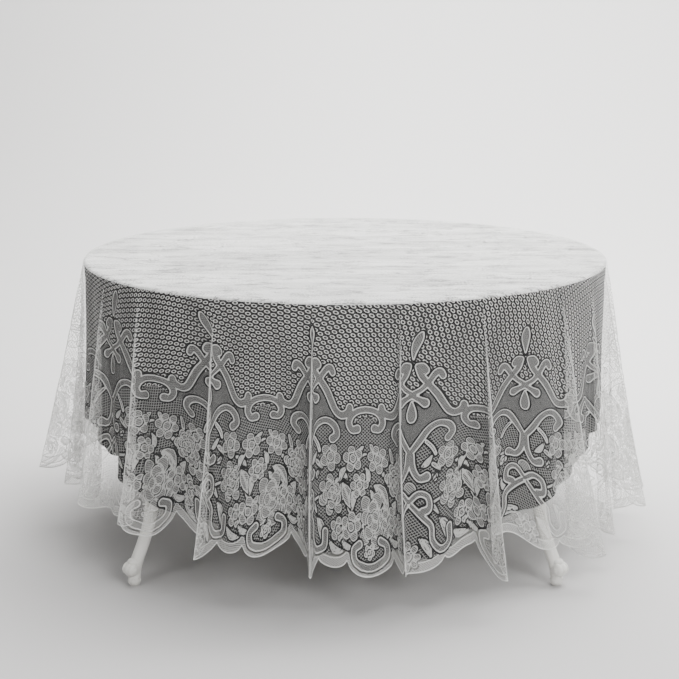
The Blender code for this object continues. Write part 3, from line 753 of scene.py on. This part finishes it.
def lace_material():
    """Pale thread: an open ring net, a finer net below, plain ground, and corded scrolls and flowers, with
    painted shade in the creases on the top.
    """
    s = Shader("lace_thread")
    uv = s.node("ShaderNodeUVMap", uv_map="OFBake").outputs[0]
    flat = s.node("ShaderNodeVectorMath", {0: uv, 3: 2 * LACE_RADIUS * UV_SPAN}, operation="SCALE")
    x, y = s.split(flat.outputs[0])[:2]

    def wave(angle, pitch):
        k = 2 * math.pi / pitch
        part = s.math("MULTIPLY", x, k * math.cos(angle))
        return s.math("COSINE", s.math("ADD", part, s.math("MULTIPLY", y, k * math.sin(angle))))

    # open net: small rings on a centred lattice, each with a hole in it, and dark gaps between them
    (first, first_pitch), (second, second_pitch) = NET_ROWS
    third = np.array([math.cos(first), math.sin(first)]) / first_pitch
    third += np.array([math.cos(second), math.sin(second)]) / second_pitch
    rows = [wave(first, first_pitch), wave(second, second_pitch),
            wave(math.atan2(third[1], third[0]), 1 / np.linalg.norm(third).item())]
    rings = s.math("MULTIPLY_ADD", rows[0], 1.0, s.math("MULTIPLY", rows[2], 0.70))
    rings = s.math("MULTIPLY_ADD", rows[1], 1.30, rings)
    net = s.math("MULTIPLY", s.step(rings, -0.30, 0.15), s.mix(s.step(rings, 1.25, 1.70), NET_COVER, 0.02))
    net = s.math("MULTIPLY", net, s.math("MULTIPLY_ADD", s.value("tone"), 0.20, 1.0))
    thread = s.math("MULTIPLY", s.step(wave(math.radians(-23), 0.0081), 0.35, 0.85), 0.14)
    net = s.math("MAXIMUM", net, thread)
    # finer net: crossing threads
    crossing = s.math("MAXIMUM", wave(math.radians(52), FINE_PITCH), wave(math.radians(128), FINE_PITCH))
    fine_net = s.math("MAXIMUM", s.math("MULTIPLY", s.step(crossing, 0.70, 0.86), FINE_COVER), 0.015)
    # plain ground and dense fill: close weave
    weave = s.math("MULTIPLY", wave(math.radians(90), 0.0026), wave(0, 0.0022))
    ground = s.math("ADD", GROUND_COVER, s.math("MULTIPLY", weave, 0.10))
    rib = wave(math.radians(62), 0.0046)
    fill = s.math("ADD", FILL_COVER, s.math("MULTIPLY", rib, 0.10))

    scroll, bloom = s.value("scroll"), s.value("bloom")
    alpha = s.mix(s.step(s.value("lower"), -0.001, 0.001), net, fine_net)
    alpha = s.mix(s.step(s.value("plain"), 0.0, 0.002), alpha, ground)
    hem = s.value("hem")
    alpha = s.mix(s.step(hem, 0.028, 0.024), alpha, s.math("ADD", fill, 0.16))
    hem_cord = s.math("MULTIPLY", s.step(hem, 0.0225, 0.0235), s.step(hem, 0.0265, 0.0255))
    alpha = s.mix(hem_cord, alpha, CORD_COVER)
    alpha = s.mix(s.step(bloom, 0.0044, 0.0034), alpha, 0.01)
    alpha = s.mix(s.step(bloom, 0.0008, -0.0004), alpha, CORD_COVER * 0.85)
    alpha = s.mix(s.step(bloom, -0.0014, -0.0028), alpha, s.math("ADD", fill, 0.07))
    around = s.step(scroll, 0.0050, 0.0040)
    alpha = s.mix(around, alpha, 0.0)
    alpha = s.mix(s.step(scroll, 0.0006, 0.0), alpha, CORD_COVER)
    alpha = s.mix(s.step(scroll, -0.0022, -0.0030), alpha, fill)
    alpha = s.mix(s.step(hem, 0.0036, 0.0028), alpha, 0.90)
    crease = s.step(s.value("crease"), 0.0050, 0.0015)
    alpha = s.mix(crease, alpha, s.math("MAXIMUM", alpha, 0.62))
    s.look(Alpha=s.math("MULTIPLY", alpha, 1.0, clamp=True))
    # painted shade: on the top the thread's colour is darkened in the creases and in broad patches
    on_top = s.step(s.split(s.place())[2], TOP_Z, TOP_Z + 0.004)
    shaded = s.math("MULTIPLY", on_top, s.math("SUBTRACT", 1.0, painted_crease_shade(s)))
    return s.look(Base_Color=s.colour(shaded, THREAD, THREAD_SHADED), Normal=crumple(s), Roughness=0.75,
                  Sheen_Weight=0.15)


def cloth_material(name, colour, dark, thread, roughness, sheen, crease):
    """A closely woven cloth with visible threads, slight unevenness and painted shade in its creases."""
    s = Shader(name)
    uv = s.node("ShaderNodeUVMap", uv_map="OFBake").outputs[0]
    parts = s.split(uv)
    k = 2 * math.pi / thread
    warp = s.math("SINE", s.math("MULTIPLY", parts[0], k))
    weft = s.math("SINE", s.math("MULTIPLY", parts[1], k))
    weave = s.math("MULTIPLY", warp, weft)
    slub = s.noise(uv, 18.0)
    # the colour runs from dark, the painted shade of the creases, to the cloth's own colour: a little random
    # slub, mostly painted crease shade, and the weave
    mixed = s.math("MULTIPLY_ADD", slub, 0.2, s.math("MULTIPLY", painted_crease_shade(s), 0.8))
    mixed = s.math("MULTIPLY_ADD", weave, 0.10, mixed)
    return s.look(Base_Color=s.colour(mixed, dark, colour), Roughness=roughness, Sheen_Weight=sheen,
                  Normal=s.bump(weave, 0.25, 0.0004, Normal=crumple(s, crease)))


def painted_wood():
    """Satin white paint with faint brush marks, a little dulled."""
    s = Shader("white_paint_satin")
    marks, dull = s.noise(s.stretched((60.0, 60.0, 6.0)), 4.0), s.noise(s.place(), 7.0, 5.0)
    return s.look(Base_Color=s.colour(dull, (0.66, 0.65, 0.61, 1), (0.82, 0.81, 0.77, 1)),
                  Roughness=s.mix(marks, 0.28, 0.46), Normal=s.bump(marks, 0.3, 0.0003))


def bare_wood():
    """Sawn beech: pale, with a fine straight grain and darker flecks."""
    s = Shader("beech_sawn")
    along = s.stretched((9.0, 9.0, 160.0))
    grain, fleck = s.noise(along, 1.0, 6.0), s.noise(along, 6.0, 2.0)
    base = s.colour(grain, (0.44, 0.27, 0.15, 1), (0.68, 0.48, 0.30, 1))
    return s.look(Base_Color=s.colour(s.step(fleck, 0.62, 0.70), base, (0.30, 0.17, 0.09, 1)),
                  Roughness=s.mix(grain, 0.55, 0.75), Normal=s.bump(grain, 0.4, 0.0003))


def plated_steel():
    """Zinc-plated steel with fine drawn lines and duller patches."""
    s = Shader("steel_plated")
    drawn, patch = s.noise(s.stretched((900.0, 900.0, 40.0)), 1.0, 2.0), s.noise(s.place(), 60.0)
    return s.look(Base_Color=s.colour(patch, (0.50, 0.51, 0.53, 1), (0.68, 0.69, 0.70, 1)), Metallic=1.0,
                  Roughness=s.mix(patch, 0.26, 0.48), Normal=s.bump(drawn, 0.2, 0.0001))


def moulded_nylon():
    """Off-white nylon with a faint moulded grain, scuffed where it slides."""
    s = Shader("nylon_moulded")
    grain, scuff = s.noise(s.place(), 900.0, 2.0), s.noise(s.place(), 140.0)
    return s.look(Base_Color=s.colour(scuff, (0.46, 0.45, 0.42, 1), (0.66, 0.65, 0.61, 1)),
                  Roughness=s.mix(scuff, 0.38, 0.62), Normal=s.bump(grain, 0.25, 0.0001))


# ---------------------------------------------------------------- the legs
# share of the leg's height, share of its splay, half its width, squareness
LEG_LINE = (
    (0.000, 1.00, 0.0150, 0.0), (0.040, 0.98, 0.0172, 0.0), (0.075, 0.86, 0.0175, 0.1),
    (0.130, 0.68, 0.0165, 0.2), (0.200, 0.50, 0.0165, 0.3), (0.300, 0.38, 0.0178, 0.35),
    (0.420, 0.27, 0.0202, 0.4), (0.560, 0.20, 0.0245, 0.4), (0.700, 0.17, 0.0305, 0.4),
    (0.800, 0.10, 0.0325, 0.5), (0.870, 0.01, 0.0300, 0.95), (1.000, 0.00, 0.0300, 1.0),
)
# the carved scroll at the foot: outwards, across and up from the foot's middle, then half sizes the same way
SCROLL_LOBES = (
    (0.007, 0.000, 0.0235, 0.0215, 0.0190, 0.0195), (0.010, 0.012, 0.0250, 0.0170, 0.0085, 0.0165),
    (0.010, -0.012, 0.0250, 0.0170, 0.0085, 0.0165), (0.002, 0.000, 0.0410, 0.0150, 0.0150, 0.0110),
    (0.010, 0.019, 0.0245, 0.0065, 0.0030, 0.0065), (0.010, -0.019, 0.0245, 0.0065, 0.0030, 0.0065),
)


def leg_ring(centre, half, squareness, z, count=28):
    """One outline of a leg, between round and square, turned to face the aprons."""
    angle = 2 * math.pi * (np.arange(count) + 0.5) / count
    x, y = np.cos(angle), np.sin(angle)
    power = 2 + 8 * squareness ** 2
    reach = half * (np.abs(x) ** power + np.abs(y) ** power) ** (-1 / power)
    return np.column_stack([centre[0] + x * reach, centre[1] + y * reach, np.full(count, z)])


def build_leg(corner):
    """A cabriole leg: square head, swelling knee, slim ankle and a carved scroll over the pad."""
    low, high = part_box("leg_" + corner)
    pad_low, pad_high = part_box("foot_pad_" + corner)
    foot = np.array([(pad_low.x + pad_high.x) / 2, (pad_low.y + pad_high.y) / 2])
    sign = np.sign(foot)
    inner = np.array([low.x if sign[0] > 0 else high.x, low.y if sign[1] > 0 else high.y])
    post = inner + sign * LEG_LINE[-1][2]
    table = np.array(LEG_LINE)
    shares, even = np.concatenate([np.linspace(0, 0.87, 44), [0.885, 0.94, 1.0]]), np.linspace(0, 1, 201)
    smooth = []
    for k in (1, 2, 3):
        line = np.pad(np.interp(even, table[:, 0], table[:, k]), 5, "edge")
        smooth.append(np.convolve(line, np.ones(11) / 11, "valid"))
    points, faces = [], []
    for share in shares:
        splay, half, squareness = (np.interp(share, even, line) for line in smooth)
        z = low.z + (high.z - low.z) * share
        points.append(leg_ring(post + (foot - post) * splay, half, squareness, z))
    count = len(points[0])
    for ring in range(len(points) - 1):
        inner_ring = ring * count + np.arange(count)
        faces += ring_faces(inner_ring, inner_ring + count)
    faces += [list(range(count))[::-1], [(len(points) - 1) * count + k for k in range(count)]]
    points = list(np.vstack(points))
    outward = sign / math.sqrt(2)
    across = np.array([-outward[1], outward[0]])
    for out, side, up, half_out, half_side, half_up in SCROLL_LOBES:
        start, middle = len(points), foot + outward * out + across * side
        for lat in np.linspace(-1, 1, 13) * math.pi / 2:
            for lon in np.arange(18) / 18 * 2 * math.pi:
                flat = middle + outward * half_out * math.cos(lon) * math.cos(lat)
                flat = flat + across * half_side * math.sin(lat)
                points.append(np.array([*flat, low.z + up + half_up * math.sin(lon) * math.cos(lat)]))
        for row in range(12):
            ring = start + row * 18 + np.arange(18)
            faces += ring_faces(ring, ring + 18)
    return add_mesh("cabriole_leg_" + corner, points, faces)


# ---------------------------------------------------------------- the studio
# the sweep: where its floor starts and ends, the radius it turns up with, its height and half its width
FLOOR_FROM, FLOOR_TO, SWEEP_RADIUS, SWEEP_HEIGHT, SWEEP_HALF = -7.0, 2.2, 2.0, 9.0, 9.0
CAMERA_PLACE, CAMERA_PITCH = (-0.015, -4.206, 1.440), math.radians(77.655)
LENS, SENSOR = 81.5, 36.0
WHITE = (1, 1, 1)
# each light: name, place, what it is aimed at, width and length, watts, tint
LIGHTS = (
    ("overhead", (0.5, 0.5, 3.8), (0, 0, 0.7), (3.2, 3.2), 430, WHITE),
    ("key", (3.0, -5.0, 3.7), (0, 0, 0.6), (2.4, 2.4), 275, WHITE),
    ("fill", (-3.6, -5.0, 3.4), (0, 0, 0.6), (2.6, 2.6), 115, WHITE),
    ("raking", (4.4, 2.4, 1.7), (0, 0, 0.78), (1.2, 1.2), 70, WHITE),
    ("backdrop_light", (1.8, 0.8, 4.8), (1.6, 4.2, 1.8), (5, 1.5), 350, (1, 0.985, 0.97)),
)
AIR_LIGHT = 0.11


def build_stage():
    """A pale seamless floor running up into a backdrop, its colour darkened by painted shade towards the
    front, under the table and to the left.
    """
    profile = [(FLOOR_FROM, 0.0), (FLOOR_TO, 0.0)]
    for turn in np.linspace(0.05, 1, 14) * math.pi / 2:
        profile.append((FLOOR_TO + SWEEP_RADIUS * math.sin(turn), SWEEP_RADIUS * (1 - math.cos(turn))))
    profile.append((FLOOR_TO + SWEEP_RADIUS, SWEEP_HEIGHT))
    points = [(x, y, z) for y, z in profile for x in (-SWEEP_HALF, SWEEP_HALF)]
    faces = [(2 * i, 2 * i + 1, 2 * i + 3, 2 * i + 2) for i in range(len(profile) - 1)]
    sweep = add_mesh("studio_sweep", points, faces)
    paper = Shader("studio_paper")
    side, depth = paper.split(paper.place())[:2]
    # painted shade: the paper is painted dark at the front and under the table, lighter towards the
    # backdrop, and darker to the left, over a little random tone
    tone = paper.math("MULTIPLY", paper.noise(depth, 0.4), 0.1)
    tone = paper.math("ADD", paper.step(depth, -1.5, 3.5), tone)
    tone = paper.math("SUBTRACT", tone, paper.math("MULTIPLY", paper.step(side, 0.8, -2.2), 0.30))
    shade = paper.colour(tone, (0.47, 0.462, 0.458, 1), (0.84, 0.835, 0.825, 1))
    sweep.data.materials.append(paper.look(Base_Color=shade, Roughness=0.9))


def add_light(name, place, aim, size, power, colour):
    data = bpy.data.lights.new(name, "AREA")
    data.shape = "RECTANGLE"
    data.size, data.size_y = size
    data.energy = power
    data.color = colour
    light = bpy.data.objects.new(name, data)
    bpy.context.scene.collection.objects.link(light)
    light.location = place
    light.rotation_euler = (Vector(aim) - Vector(place)).to_track_quat("-Z", "Y").to_euler()


def build_camera():
    data = bpy.data.cameras.new("camera")
    data.lens, data.sensor_width = LENS, SENSOR
    camera = bpy.data.objects.new("camera", data)
    bpy.context.scene.collection.objects.link(camera)
    camera.location = CAMERA_PLACE
    camera.rotation_euler = (CAMERA_PITCH, 0, 0)
    bpy.context.scene.camera = camera


# ---------------------------------------------------------------- the pieces and their places in the frame
lace = build_lace()
lace.data.materials.append(lace_material())
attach(lace, "lace")
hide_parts("lace_tablecloth")

under = build_under_cloth(hem_heights(lace, 240))
under.data.materials.append(cloth_material("under_cloth_weave", *UNDER_WEAVE))
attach(under, "under_cloth")
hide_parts("under_cloth")

liner = build_liner()
liner.data.materials.append(cloth_material("liner_weave", *LINER_WEAVE))
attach(liner, "liner")
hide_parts("table_liner")

finishes = {"white_paint": painted_wood(), "beech": bare_wood(),
            "steel": plated_steel(), "nylon": moulded_nylon()}
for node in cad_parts.values():
    for place in node.material_slots:
        kind = place.material.name.split(".")[0]
        if kind in finishes:
            place.material = finishes[kind]
for corner in ("front_left", "front_right", "back_right", "back_left"):
    leg = build_leg(corner)
    leg.data.materials.append(finishes["white_paint"])
    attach(leg, "table")
    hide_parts("leg_" + corner)

build_stage()
build_camera()
for light in LIGHTS:
    add_light(*light)
world = bpy.data.worlds.new("studio")
world.use_nodes = True
air = world.node_tree.nodes["Background"]
air.inputs["Color"].default_value = (*WHITE, 1)
air.inputs["Strength"].default_value = AIR_LIGHT
bpy.context.scene.world = world
